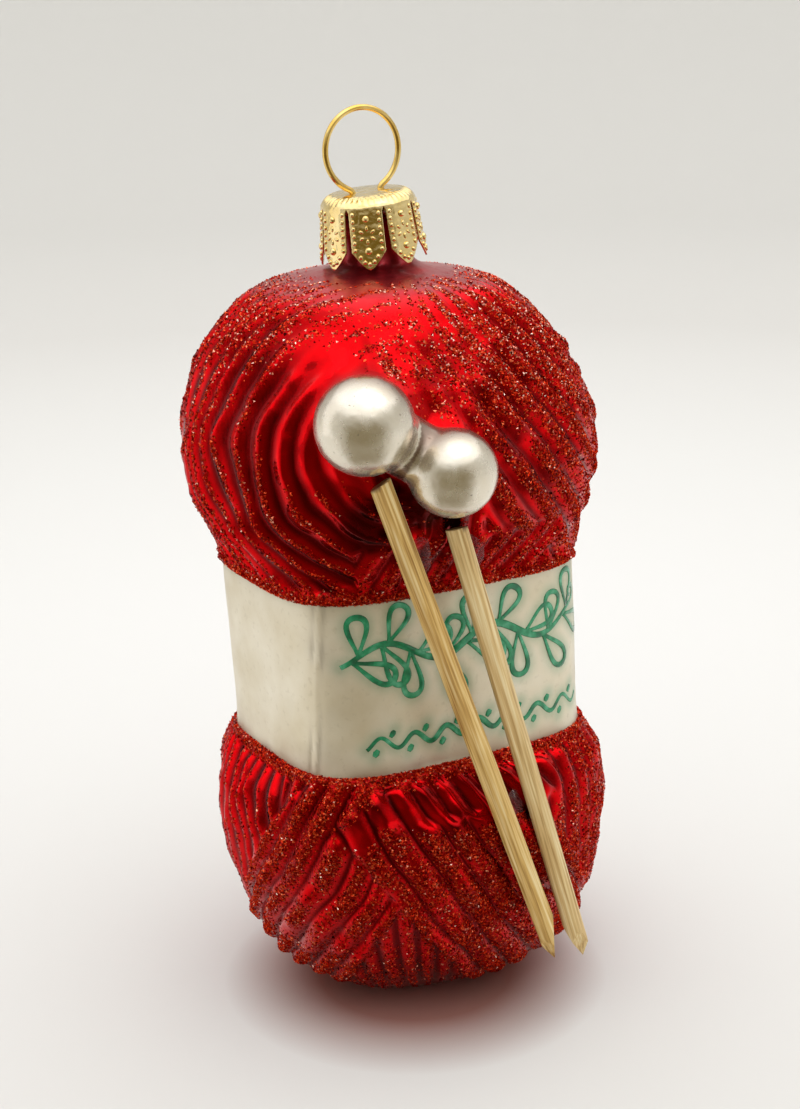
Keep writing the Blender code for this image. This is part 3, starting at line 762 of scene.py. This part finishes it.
GRAIN_SIZES = (0.11, 0.25)  # mm, from the middle of a flake to a corner
GRAIN_TILT = 0.8
GRAIN_BULGE = 0.55  # share of its size
BACK_SHARE = 0.55  # of the front's glitter
glitter_flakes, tree, shader = new_finish(
    "red_glass_glitter", Metallic=1.0, Roughness=0.3, Specular_Tint=(1.0, 0.35, 0.25, 1.0)
)
tint = add_node(tree, "Attribute", "Fac", {}, attribute_name="tint")
reds = ((0.0, "#5C0302"), (0.35, "#A01008"), (0.65, "#DE3A1A"), (0.88, "#FA7648"), (1.0, "#FFE0D0"))
feed(shader, {"Base Color": add_node(tree, "ValToRGB", "Color", {"Fac": tint}, reds)})


def unit(rows):
    return rows / np.linalg.norm(rows, axis=1)[:, None]


def read(items, field, width, kind=np.float32):
    """One field of a mesh's items as an array of rows of the given width."""
    values = np.empty(width * len(items), dtype=kind)
    items.foreach_get(field, values)
    return values.reshape(-1, width)


def glitter(name, skin, count, seed):
    """count flakes as flat shards, strewn where the skin's grains attribute holds them."""
    rng = np.random.default_rng(seed)
    mesh = skin.data
    mesh.calc_loop_triangles()
    corners = read(mesh.loop_triangles, "vertices", 3, np.int32)
    density = read(mesh.attributes["grains"].data, "value", 1)[:, 0]
    faces = read(mesh.vertices, "co", 3)[corners] / MM
    ways = np.cross(faces[:, 1] - faces[:, 0], faces[:, 2] - faces[:, 0])
    areas = np.linalg.norm(ways, axis=1)
    shares = areas * density[corners].mean(axis=1) * np.where(faces[:, 0, 1] > 4, BACK_SHARE, 1.0)
    picked = rng.choice(len(corners), size=count, p=shares / shares.sum())
    first, second = np.sort(rng.random((2, count)), axis=0)[..., None]
    a, b, c = faces[picked].transpose(1, 0, 2)
    middle = a * first + b * (second - first) + c * (1 - second)
    normal = ways[picked] / areas[picked][:, None]
    normal = unit(normal + GRAIN_TILT * rng.normal(size=(count, 3)) * rng.random((count, 1)))
    side = unit(np.cross(normal, rng.normal(size=(count, 3))))
    other = np.cross(normal, side)
    size = rng.uniform(*GRAIN_SIZES, size=(count, 1))
    points = [middle + normal * size * GRAIN_BULGE]
    for k in range(3):
        turn = tau * k / 3 + rng.uniform(-0.4, 0.4, size=(count, 1))
        far = size * rng.uniform(0.7, 1.2, size=(count, 1))
        points.append(middle + far * (side * np.cos(turn) + other * np.sin(turn)) + 0.04 * normal)
    made = bpy.data.meshes.new(name)
    shard = np.array([(0, 1, 2), (0, 2, 3), (0, 3, 1), (1, 3, 2)])
    order = (4 * np.arange(count)[:, None, None] + shard).reshape(-1, 3)
    made.from_pydata((np.stack(points, axis=1).reshape(-1, 3) * MM).tolist(), [], order.tolist())
    # painted glints: a few flakes, more of them higher up, get pale pink to white tints
    painted_glints = rng.random(count) < 0.02 + 0.17 * soft_step((middle[:, 2] - 76) / 14)
    tints = np.where(painted_glints, rng.uniform(0.88, 1.0, count), rng.beta(2.2, 2.6, count))
    add_attribute(made, "tint", np.repeat(tints, 4))
    made.materials.append(glitter_flakes)
    obj = in_scene(name, made)
    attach(obj, "root")


for name, skin, count, seed in (
    ("glitter_low_1", yarn_skins[0], 32000, 11),
    ("glitter_low_2", yarn_skins[0], 32000, 12),
    ("glitter_high_1", yarn_skins[1], 38000, 13),
    ("glitter_high_2", yarn_skins[1], 38000, 14),
):
    glitter(name, skin, count, seed)

# ---- the two sharpened sticks ----
# Bamboo skewers 2.8 mm thick, cut short, whittled to a point at the lower end and glued on under
# the knobs as knitting needles. Long fibres show as darker lines, and the cut tops are ragged.

STICK_RADIUS = 1.38
STICK_SEGMENTS = 36
STICK_ROW = 0.8
STICK_EDGE = radians(35)  # sharper corners stay sharp
TOP_CUT = 0.3


def bamboo(name, light, middle, dark):
    made, tree, shader = new_finish(name, Roughness=0.5, Specular_IOR_Level=0.35)
    along = add_node(tree, "Attribute", "Vector", {}, attribute_name="stick")
    cut = add_node(tree, "Attribute", "Fac", {}, attribute_name="cut")
    drawn_out = add_node(tree, "VectorMath", 0, {0: along, 1: (1.0, 1.0, 0.03)}, operation="MULTIPLY")
    fibres = {"Vector": drawn_out, "Scale": 1 / (0.35 * MM), "Detail": 4.0}
    fibres = add_node(tree, "TexNoise", "Fac", fibres)
    streaks = drifting(tree, drawn_out, 1.2, 2.0, 0.0, 0.32, 0.45, 0.7)
    wood = add_node(tree, "ValToRGB", "Color", {"Fac": fibres}, ((0.32, dark), (0.5, middle), (0.68, light)))
    grooves = add_node(tree, "Bump", "Normal", {"Height": fibres, "Distance": 0.025 * MM})
    feed(shader, {"Base Color": coated(tree, wood, (streaks, dark), (cut, "#6B4A26")), "Normal": grooves})
    return made


def only(kind, geom):
    """The verts or edges among the geometry."""
    return [each for each in geom if isinstance(each, kind)]


# cuts: (degrees round the stick, mm from the tip where the cut starts, slope in degrees)
Stick = namedtuple("Stick", "name top tip top_tilt cuts seed look")
STICKS = (
    Stick(
        "needle_left",
        (-17.56, -22.3, 74.7),
        (5.65, -25.1, 8.6),
        14,
        ((200, 6.3, 15), (60, 3.8, 17), (320, 4.3, 15)),
        1,
        bamboo("split_bamboo_ochre", "#E8D29C", "#D2AC62", "#94692C"),
    ),
    Stick(
        "needle_right",
        (-7.5, -22.4, 67.9),
        (10.5, -23.7, 6.8),
        -12,
        ((20, 5.8, 15), (150, 4.3, 17), (270, 4.8, 15)),
        2,
        bamboo("split_bamboo_pale", "#EAD8A8", "#D6B87E", "#B08C52"),
    ),
)

for stick in STICKS:
    top, tip = Vector(stick.top), Vector(stick.tip)
    length = (tip - top).length
    bm = bmesh.new()
    at = Matrix.Translation((0, 0, length / 2))
    size = {"radius1": STICK_RADIUS, "radius2": STICK_RADIUS, "depth": length}
    bmesh.ops.create_cone(bm, cap_ends=True, segments=STICK_SEGMENTS, matrix=at, **size)
    sides = [e for e in bm.edges if abs(e.verts[0].co.z - e.verts[1].co.z) > length / 2]
    bmesh.ops.subdivide_edges(bm, edges=sides, cuts=round(length / STICK_ROW), use_grid_fill=True)
    for vert in bm.verts:
        flat = 0.97 + 0.03 * cos(5 * atan2(vert.co.y, vert.co.x) + stick.seed)
        fibre = noise.noise((4 * vert.co.x, 4 * vert.co.y, vert.co.z / 9 + 20 * stick.seed))
        vert.co.xy *= flat + 0.035 * fibre
    cut_layer = bm.verts.layers.float.new("cut")
    planes = [(Vector((0, 0, TOP_CUT)), Vector((sin(radians(stick.top_tilt)), 0.28, -1)), 1.0)]
    for around, start, slope in stick.cuts:
        out = Vector((cos(radians(around)), sin(radians(around)), 0))
        edge = out * STICK_RADIUS + Vector((0, 0, length - start))
        planes.append((edge, out * cos(radians(slope)) + Vector((0, 0, 1)) * sin(radians(slope)), 0.0))
    for spot, normal, darkness in planes:
        geom = bm.verts[:] + bm.edges[:] + bm.faces[:]
        cut = bmesh.ops.bisect_plane(bm, geom=geom, plane_co=spot, plane_no=normal, clear_outer=True)
        bmesh.ops.contextual_create(bm, geom=only(BMEdge, cut["geom_cut"]))
        for vert in only(BMVert, cut["geom_cut"]):
            vert[cut_layer] = darkness
    bmesh.ops.recalc_face_normals(bm, faces=bm.faces)
    local = [tuple(vert.co * MM + Vector((0, 0, stick.seed))) for vert in bm.verts]
    bmesh.ops.transform(bm, matrix=Matrix.Translation(top) @ pointing(tip - top), verts=bm.verts)
    obj = object_of("bamboo_" + stick.name, bm, stick.look)
    obj.data.set_sharp_from_angle(angle=STICK_EDGE)
    add_attribute(obj.data, "stick", local, "FLOAT_VECTOR")
    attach(obj, "root")
    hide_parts(stick.name)

# ---- the glue under the sticks ----
# Dabs of clear glue hold the sticks to the crests of the yarn. They were squeezed out past the
# wood and dried to a cloudy lilac grey, thin enough to show the red through them.

clear_glue, tree, shader = new_finish(
    "dried_clear_glue", Roughness=0.2, Transmission_Weight=0.6, IOR=1.48, Alpha=0.3
)
place = add_node(tree, "TexCoord", "Object", {})
feed(shader, {"Base Color": drifting(tree, place, 1.2, 3.0, "#6E4248", "#B08A90", 0.35)})
# angle (degrees), height, and half sizes in mm: across, up and out
GLUE = (
    ("glue_left", 21, 64.5, 1.5, 2.4, 0.6),
    ("glue_right", 1, 63.8, 1.4, 2.6, 0.6),
    ("glue_low", -6, 28.5, 1.5, 3.4, 0.8),
)
for name, around, height, across, up, out in GLUE:
    angle = radians(around)
    spot = Vector(on_glass(np.array([angle]), np.array([run_at(height)]), 0.1)[0])
    shape = Matrix.Rotation(-angle, 4, "Z") @ Matrix.Diagonal((across, out, up, 1))
    bm = bmesh.new()
    bmesh.ops.create_icosphere(bm, subdivisions=4, radius=1.0, matrix=Matrix.Translation(spot) @ shape)
    for vert in bm.verts:
        vert.co += (vert.co - spot) * 0.3 * noise.noise(vert.co / 1.8)
    dab = object_of(name, bm, clear_glue)
    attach(dab, "root")

# ---- the stamped cap ----
# Thin gold-plated steel, stamped to a crown with a fluted edge and eight pointed petals that grip
# the neck. Each petal is embossed with a beaded border and a flower between two beads. Shallow
# dents break its bright mirror into patches.

CAP_FOOT = (-5.3, 0.0, 96.5)
CAP_TILT = radians(6.0)
CAP_TURN = AZIMUTH - radians(3.5)
CAP_HEIGHT = 8.6
CAP_SHEET = 0.22
RIM_RADIUS = 5.85
TIP_RADIUS = 6.6
SKIRT = 7.4  # height of the petals' roots
PETALS = 8
PETAL_COLUMNS = 12
PETAL_ROWS = (0.0, 0.25, 0.6, 1.0, 1.4, 1.8, 2.2, 3.0, 4.0, 5.0, 6.0, 6.9, 7.15, SKIRT)
PETAL_SIDE = (2.2, 6.9)  # heights between which its sides are all but straight
FLUTES = 48
FLUTE_RADIUS = 5.0
FLUTE_DEPTH = 0.06
CROWN = ((2.2, 8.6), (4.0, 8.56), (4.55, 8.46), (5.0, 8.27), (5.35, 8.02), (5.65, 7.72), (RIM_RADIUS, SKIRT))
cap_place = Matrix.Translation(CAP_FOOT) @ Matrix.Rotation(-CAP_TILT, 4, "Y")
cap_turn = cap_place @ Matrix.Rotation(CAP_TURN, 4, "Z")


def petal_point(across, height):
    """A point on the petal that faces -Y, from mm across it and height over its point."""
    radius = RIM_RADIUS + (TIP_RADIUS - RIM_RADIUS) * (1 - height / SKIRT)
    turn = across / radius
    return Vector((radius * sin(turn), -radius * cos(turn), height))


def petal_half(height):
    """Half the petal's width at a height over its point."""
    low, high = PETAL_SIDE
    if height < low:
        return 2.12 * (height / low) ** 0.75
    if height < high:
        return 2.12 - 0.05 * (height - low) / (high - low)
    return 2.07 + (pi / PETALS * RIM_RADIUS - 2.07) * (height - high) / (SKIRT - high)


bm = bmesh.new()
chain = [bm.verts.new((0, 0, CAP_HEIGHT + 0.02))] + [bm.verts.new((0, -r, h)) for r, h in CROWN]
edges = [bm.edges.new(pair) for pair in zip(chain, chain[1:])]
bmesh.ops.subdivide_edges(bm, edges=edges[2:], cuts=2)
bmesh.ops.rotate(bm, cent=(0, 0, 0), matrix=Matrix.Rotation(pi / PETALS, 3, "Z"), verts=bm.verts)
full_turn = {"cent": (0, 0, 0), "axis": (0, 0, 1), "angle": tau, "use_merge": True}
bmesh.ops.spin(bm, geom=bm.verts[:] + bm.edges[:], steps=4 * PETALS * PETAL_COLUMNS, **full_turn)
for vert in bm.verts:
    radius = hypot(vert.co.x, vert.co.y)
    share = exp(-(((radius - FLUTE_RADIUS) / 0.5) ** 2)) * (vert.co.z > SKIRT + 0.3)
    lift = FLUTE_DEPTH * share * cos(FLUTES * atan2(vert.co.x, -vert.co.y))
    vert.co += Vector((vert.co.x, vert.co.y, FLUTE_RADIUS)).normalized() * lift
last_row = len(PETAL_ROWS) - 1
for k in range(PETALS):
    grid = bmesh.ops.create_grid(bm, x_segments=4 * PETAL_COLUMNS, y_segments=last_row, size=0.5)
    for vert in grid["verts"]:
        height = PETAL_ROWS[round((vert.co.y + 0.5) * last_row)]
        vert.co = petal_point(2 * vert.co.x * petal_half(height), height)
    turn = Matrix.Rotation(tau * k / PETALS, 3, "Z")
    bmesh.ops.rotate(bm, cent=(0, 0, 0), matrix=turn, verts=grid["verts"])
bmesh.ops.remove_doubles(bm, verts=bm.verts, dist=0.01)
bmesh.ops.recalc_face_normals(bm, faces=bm.faces)
bmesh.ops.transform(bm, matrix=cap_turn, verts=bm.verts)

gold_plate, tree, shader = new_finish("bright_gold_plated_steel", Metallic=1.0)
place = add_node(tree, "TexCoord", "Object", {})
gold = drifting(tree, place, 2.0, 2.0, "#E8CB84", "#F6E0A6")
rough = drifting(tree, place, 0.7, 2.0, 0.06, 0.16)
dents = uneven(tree, place, (1.2, 1.0, 0.2), (0.5, 2.0, 0.04))
feed(shader, {"Base Color": gold, "Roughness": rough, "Normal": dents})
cap = object_of("cap_sheet", bm, gold_plate)
sheet = cap.modifiers.new("sheet", "SOLIDIFY")
sheet.thickness = CAP_SHEET * MM
sheet.offset = -1
cap.data.set_sharp_from_angle(angle=radians(40))
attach(cap, "root")
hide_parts("crown_cap")

bm = bmesh.new()
BEAD = 0.33
BEAD_PITCH = 0.85
BEAD_INSET = 0.45
FLOWER_HEIGHT = 4.2
FLOWER_RADIUS = 0.8


def bead(across, height, radius, long=1.0, lean=0.0):
    """An embossed dome on each petal, drawn out by long along a way that leans from upright."""
    spot = petal_point(across, height)
    out = Vector((spot.x, spot.y, 0)).normalized()
    to_side = Vector((0, 0, 1)).cross(out)
    basis = Matrix((to_side, out, Vector((0, 0, 1)))).transposed().to_4x4()
    shape = basis @ Matrix.Rotation(lean, 4, "Y") @ Matrix.Diagonal((radius, 0.75 * radius, long * radius, 1))
    for petal in range(PETALS):
        turn = cap_turn @ Matrix.Rotation(tau * petal / PETALS, 4, "Z")
        place = turn @ Matrix.Translation(spot) @ shape
        bmesh.ops.create_icosphere(bm, subdivisions=2 if radius > BEAD else 1, radius=1.0, matrix=place)


height = 6.7
while height > 0.9:
    half = petal_half(height) - BEAD_INSET * (1.0 if height > 2.2 else 1.35)
    for side in (-1, 1):
        bead(side * half, height, BEAD)
    height -= BEAD_PITCH if height > 2.4 else 0.6
for height, radius in ((0.75, BEAD), (6.1, 0.45), (2.3, 0.47)):
    bead(0, height, radius)
for k in range(6):
    turn = tau * k / 6
    bead(FLOWER_RADIUS * sin(turn), FLOWER_HEIGHT + FLOWER_RADIUS * cos(turn), 0.23, 1.75, turn)
beads = object_of("cap_beads", bm, gold_plate)
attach(beads, "root")

# ---- the sprung wire with its loop ----
# Bright gold-plated wire, 0.8 mm, bent to a round loop whose two legs go down through the cap and
# spring apart inside the neck, so the loop pulls the cap tight.

WIRE_RADIUS = 0.38
WIRE_SPREAD = 2.4
LOOP_RADIUS = 5.05
LOOP_LIFT = 0.5
LEG_DEPTH = 10.4
LEG_LENGTH = 15.0
LEG_SPLAY = 4.2
KINK = 1.1  # radius of the bend from the loop into the leg
meets_leg = pi - asin(WIRE_SPREAD / LOOP_RADIUS)
loop_middle = CAP_HEIGHT + LOOP_LIFT - LOOP_RADIUS * cos(meets_leg)
bm = bmesh.new()
at = Matrix.Translation((0, 0, loop_middle + LOOP_RADIUS)) @ Matrix.Rotation(pi / 2, 4, "Y")
ring = bmesh.ops.create_circle(bm, cap_ends=False, segments=14, radius=WIRE_RADIUS, matrix=at)["verts"]
rim = list({edge for vert in ring for edge in vert.link_edges})


def bent(geom, middle, angle, steps):
    """Bends the wire on from its last ring, about a middle point in the loop's plane."""
    turn = {"cent": middle, "axis": (0, 1, 0), "angle": angle, "use_merge": False}
    return bmesh.ops.spin(bm, geom=geom, steps=steps, **turn)["geom_last"]


def drawn(geom, way):
    """Draws the wire straight on from its last ring."""
    made = bmesh.ops.extrude_edge_only(bm, edges=only(BMEdge, geom))["geom"]
    bmesh.ops.translate(bm, vec=way, verts=only(BMVert, made))
    return only((BMVert, BMEdge), made)


last = bent(ring + rim, (0, 0, loop_middle), meets_leg, 40)
away = Vector((sin(meets_leg), 0, cos(meets_leg)))
foot = Vector((0, 0, loop_middle)) + away * LOOP_RADIUS
last = bent(last, foot + away * KINK, -(meets_leg - pi / 2), 8)
last = drawn(last, (0, 0, -LEG_DEPTH))
last = drawn(last, (LEG_SPLAY - WIRE_SPREAD, 0, -(LEG_LENGTH - LEG_DEPTH)))
bmesh.ops.contextual_create(bm, geom=only(BMEdge, last))
bmesh.ops.mirror(bm, geom=bm.verts[:] + bm.edges[:] + bm.faces[:], axis="X", merge_dist=1e-3)
bmesh.ops.recalc_face_normals(bm, faces=bm.faces)
bmesh.ops.transform(bm, matrix=cap_place, verts=bm.verts)

gold_wire, tree, shader = new_finish("bright_gold_plated_wire", Metallic=1.0)
place = add_node(tree, "TexCoord", "Object", {})
gold = drifting(tree, place, 1.5, 2.0, "#E2B95E", "#F2D488")
feed(shader, {"Base Color": gold, "Roughness": drifting(tree, place, 0.5, 2.0, 0.1, 0.2)})
wire = object_of("hanging_wire", bm, gold_wire)
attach(wire, "root")
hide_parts("cap_ring")

# ---- the floor ----
# Matt white card that curves up into a wall all round. A painted pool of light makes it a touch
# darker away from the window, and a painted red-brown shadow lies where it is under the glass.

FLOOR_DROP = 0.1
WALL_AT = 1150.0
WALL_BEND = 350.0
WALL_TOP = 800.0
bm = bmesh.new()
corner = [bm.verts.new((0, 0, -FLOOR_DROP)), bm.verts.new((0, -WALL_AT + WALL_BEND, -FLOOR_DROP))]
bm.edges.new(corner)
bend = {"cent": (0, -WALL_AT + WALL_BEND, WALL_BEND - FLOOR_DROP), "axis": (1, 0, 0), "angle": -pi / 2}
bend = bmesh.ops.spin(bm, geom=[corner[1]], steps=16, **bend)["geom_last"]
bm.edges.new((only(BMVert, bend)[0], bm.verts.new((0, -WALL_AT, WALL_TOP))))
bmesh.ops.spin(bm, geom=bm.verts[:] + bm.edges[:], steps=96, **full_turn)
bmesh.ops.remove_doubles(bm, verts=bm.verts, dist=1e-3)
white_card, tree, shader = new_finish("matt_white_card", Roughness=0.9, Specular_IOR_Level=0.1)
place = add_node(tree, "TexCoord", "Object", {})
# painted pool of light: lightest round a spot behind the glass, greyer further off
light_pool_distance = add_node(tree, "VectorMath", "Value", {0: place, 1: (0.074, 0.131, 0.0)}, operation="DISTANCE")
whites = ((0.0, "#E8E7E5"), (0.14, "#E2E1DE"), (0.35, "#D6D4D0"), (1.0, "#D8D7D3"))
shade = add_node(tree, "ValToRGB", "Color", {"Fac": light_pool_distance}, whites)
# painted shadow: red-brown under the glass, fading out between 13 and 26 mm from it
foot = add_node(tree, "VectorMath", "Value", {0: place, 1: (-0.004, -0.005, 0.0)}, operation="DISTANCE")
spread = {"From Min": 0.013, "From Max": 0.026, "To Min": 0.85, "To Max": 0.0}
glow = add_node(tree, "MapRange", "Result", {"Value": foot, **spread})
feed(shader, {"Base Color": coated(tree, shade, (glow, "#8A4632"))})
floor = object_of("floor", bm, white_card)

# ---- the cards and the light ----
# What the bright glass mirrors: a dark olive card round the camera's side, which gives it its deep
# tones, and a bright window card on the left. Only mirrors see them. The light is the sky's, and
# one soft window's high above.

CARD_HALF = 66  # degrees either side of the camera
CARD_FADE = 40
# radius, height and cover of the card's side, from the floor in front of the glass up
CARD_SIDE = (
    (28, 0.5, 0.0),
    (42, 0.5, 0.6),
    (65, 0.5, 0.9),
    (100, 1, 0.85),
    (135, 2, 0.85),
    (165, 14, 0.95),
    (185, 40, 1.0),
    (195, 75, 1.0),
    (200, 105, 0.95),
    (200, 135, 0.6),
    (200, 165, 0.2),
    (200, 200, 0.0),
)
bm = bmesh.new()
cover_layer = bm.verts.layers.float.new("cover")
chain = [bm.verts.new((0, -radius, height)) for radius, height, _ in CARD_SIDE]
for vert, (_, _, cover) in zip(chain, CARD_SIDE):
    vert[cover_layer] = cover
edges = [bm.edges.new(pair) for pair in zip(chain, chain[1:])]
start = Matrix.Rotation(AZIMUTH - radians(CARD_HALF), 3, "Z")
bmesh.ops.rotate(bm, cent=(0, 0, 0), matrix=start, verts=chain)
sweep = {"cent": (0, 0, 0), "axis": (0, 0, 1), "angle": radians(2 * CARD_HALF), "use_merge": False}
bmesh.ops.spin(bm, geom=chain + edges, steps=60, **sweep)
for vert in bm.verts:
    turn = degrees(abs(atan2(vert.co.x, -vert.co.y) - AZIMUTH))
    vert[cover_layer] *= float(soft_step((CARD_HALF - turn) / CARD_FADE))


def glowing(name, colour, strength):
    """(material, its tree, its glow) of a card that only sends out light."""
    made = bpy.data.materials.new(name)
    made.use_nodes = True
    made.node_tree.nodes.clear()
    light = add_node(made.node_tree, "Emission", 0, {"Color": colour, "Strength": strength})
    return made, made.node_tree, light


dark_card, tree, dark = glowing("dark_olive_card", (0.17, 0.125, 0.035, 1), 1.0)
cover = add_node(tree, "Attribute", "Fac", {}, attribute_name="cover")
clear = add_node(tree, "BsdfTransparent", 0, {})
dark = add_node(tree, "MixShader", 0, {0: cover, 1: clear, 2: dark})
feed(tree.nodes.new("ShaderNodeOutputMaterial"), {"Surface": dark})
bright_card, tree, bright = glowing("window_glow", (1.0, 0.98, 0.96, 1), 1.15)
feed(tree.nodes.new("ShaderNodeOutputMaterial"), {"Surface": bright})
cards = [object_of("camera_card", bm, dark_card)]

WINDOW_AZIMUTH = radians(-116)
WINDOW_AWAY = 185
WINDOW_HEIGHT = 125
WINDOW_SIZE = (100, 180, 1, 1)
way = Vector((sin(WINDOW_AZIMUTH), -cos(WINDOW_AZIMUTH), 0))
at = Matrix.Translation(WINDOW_AWAY * way + Vector((0, 0, WINDOW_HEIGHT)))
at = at @ way.to_track_quat("Z", "Y").to_matrix().to_4x4() @ Matrix.Diagonal(WINDOW_SIZE)
bm = bmesh.new()
bmesh.ops.create_grid(bm, x_segments=1, y_segments=1, size=0.5, matrix=at)
cards.append(object_of("window_card", bm, bright_card))
for card in cards:
    for rays in ("camera", "diffuse", "shadow", "transmission"):
        setattr(card, "visible_" + rays, False)

world = bpy.data.worlds.new("sky")
world.use_nodes = True
bpy.context.scene.world = world
tree = world.node_tree
way = add_node(tree, "TexCoord", "Generated", {})
up = add_node(tree, "SeparateXYZ", "Z", {"Vector": way})
greys = ((0.0, "#CCC9C6"), (0.35, "#D6D3D0"), (0.8, "#FFFFFF"))
sky = add_node(tree, "ValToRGB", "Color", {"Fac": up}, greys)
feed(tree.nodes["Background"], {"Color": sky, "Strength": 1.5})

light = bpy.data.lights.new("window", "AREA")
light.shape = "DISK"
light.size = 640 * MM
light.energy = 0.65
lamp = in_scene("window", light)
lamp.location = Vector((80, -190, 720)) * MM
lamp.rotation_euler = (AIM - lamp.location).to_track_quat("-Z", "Y").to_euler()
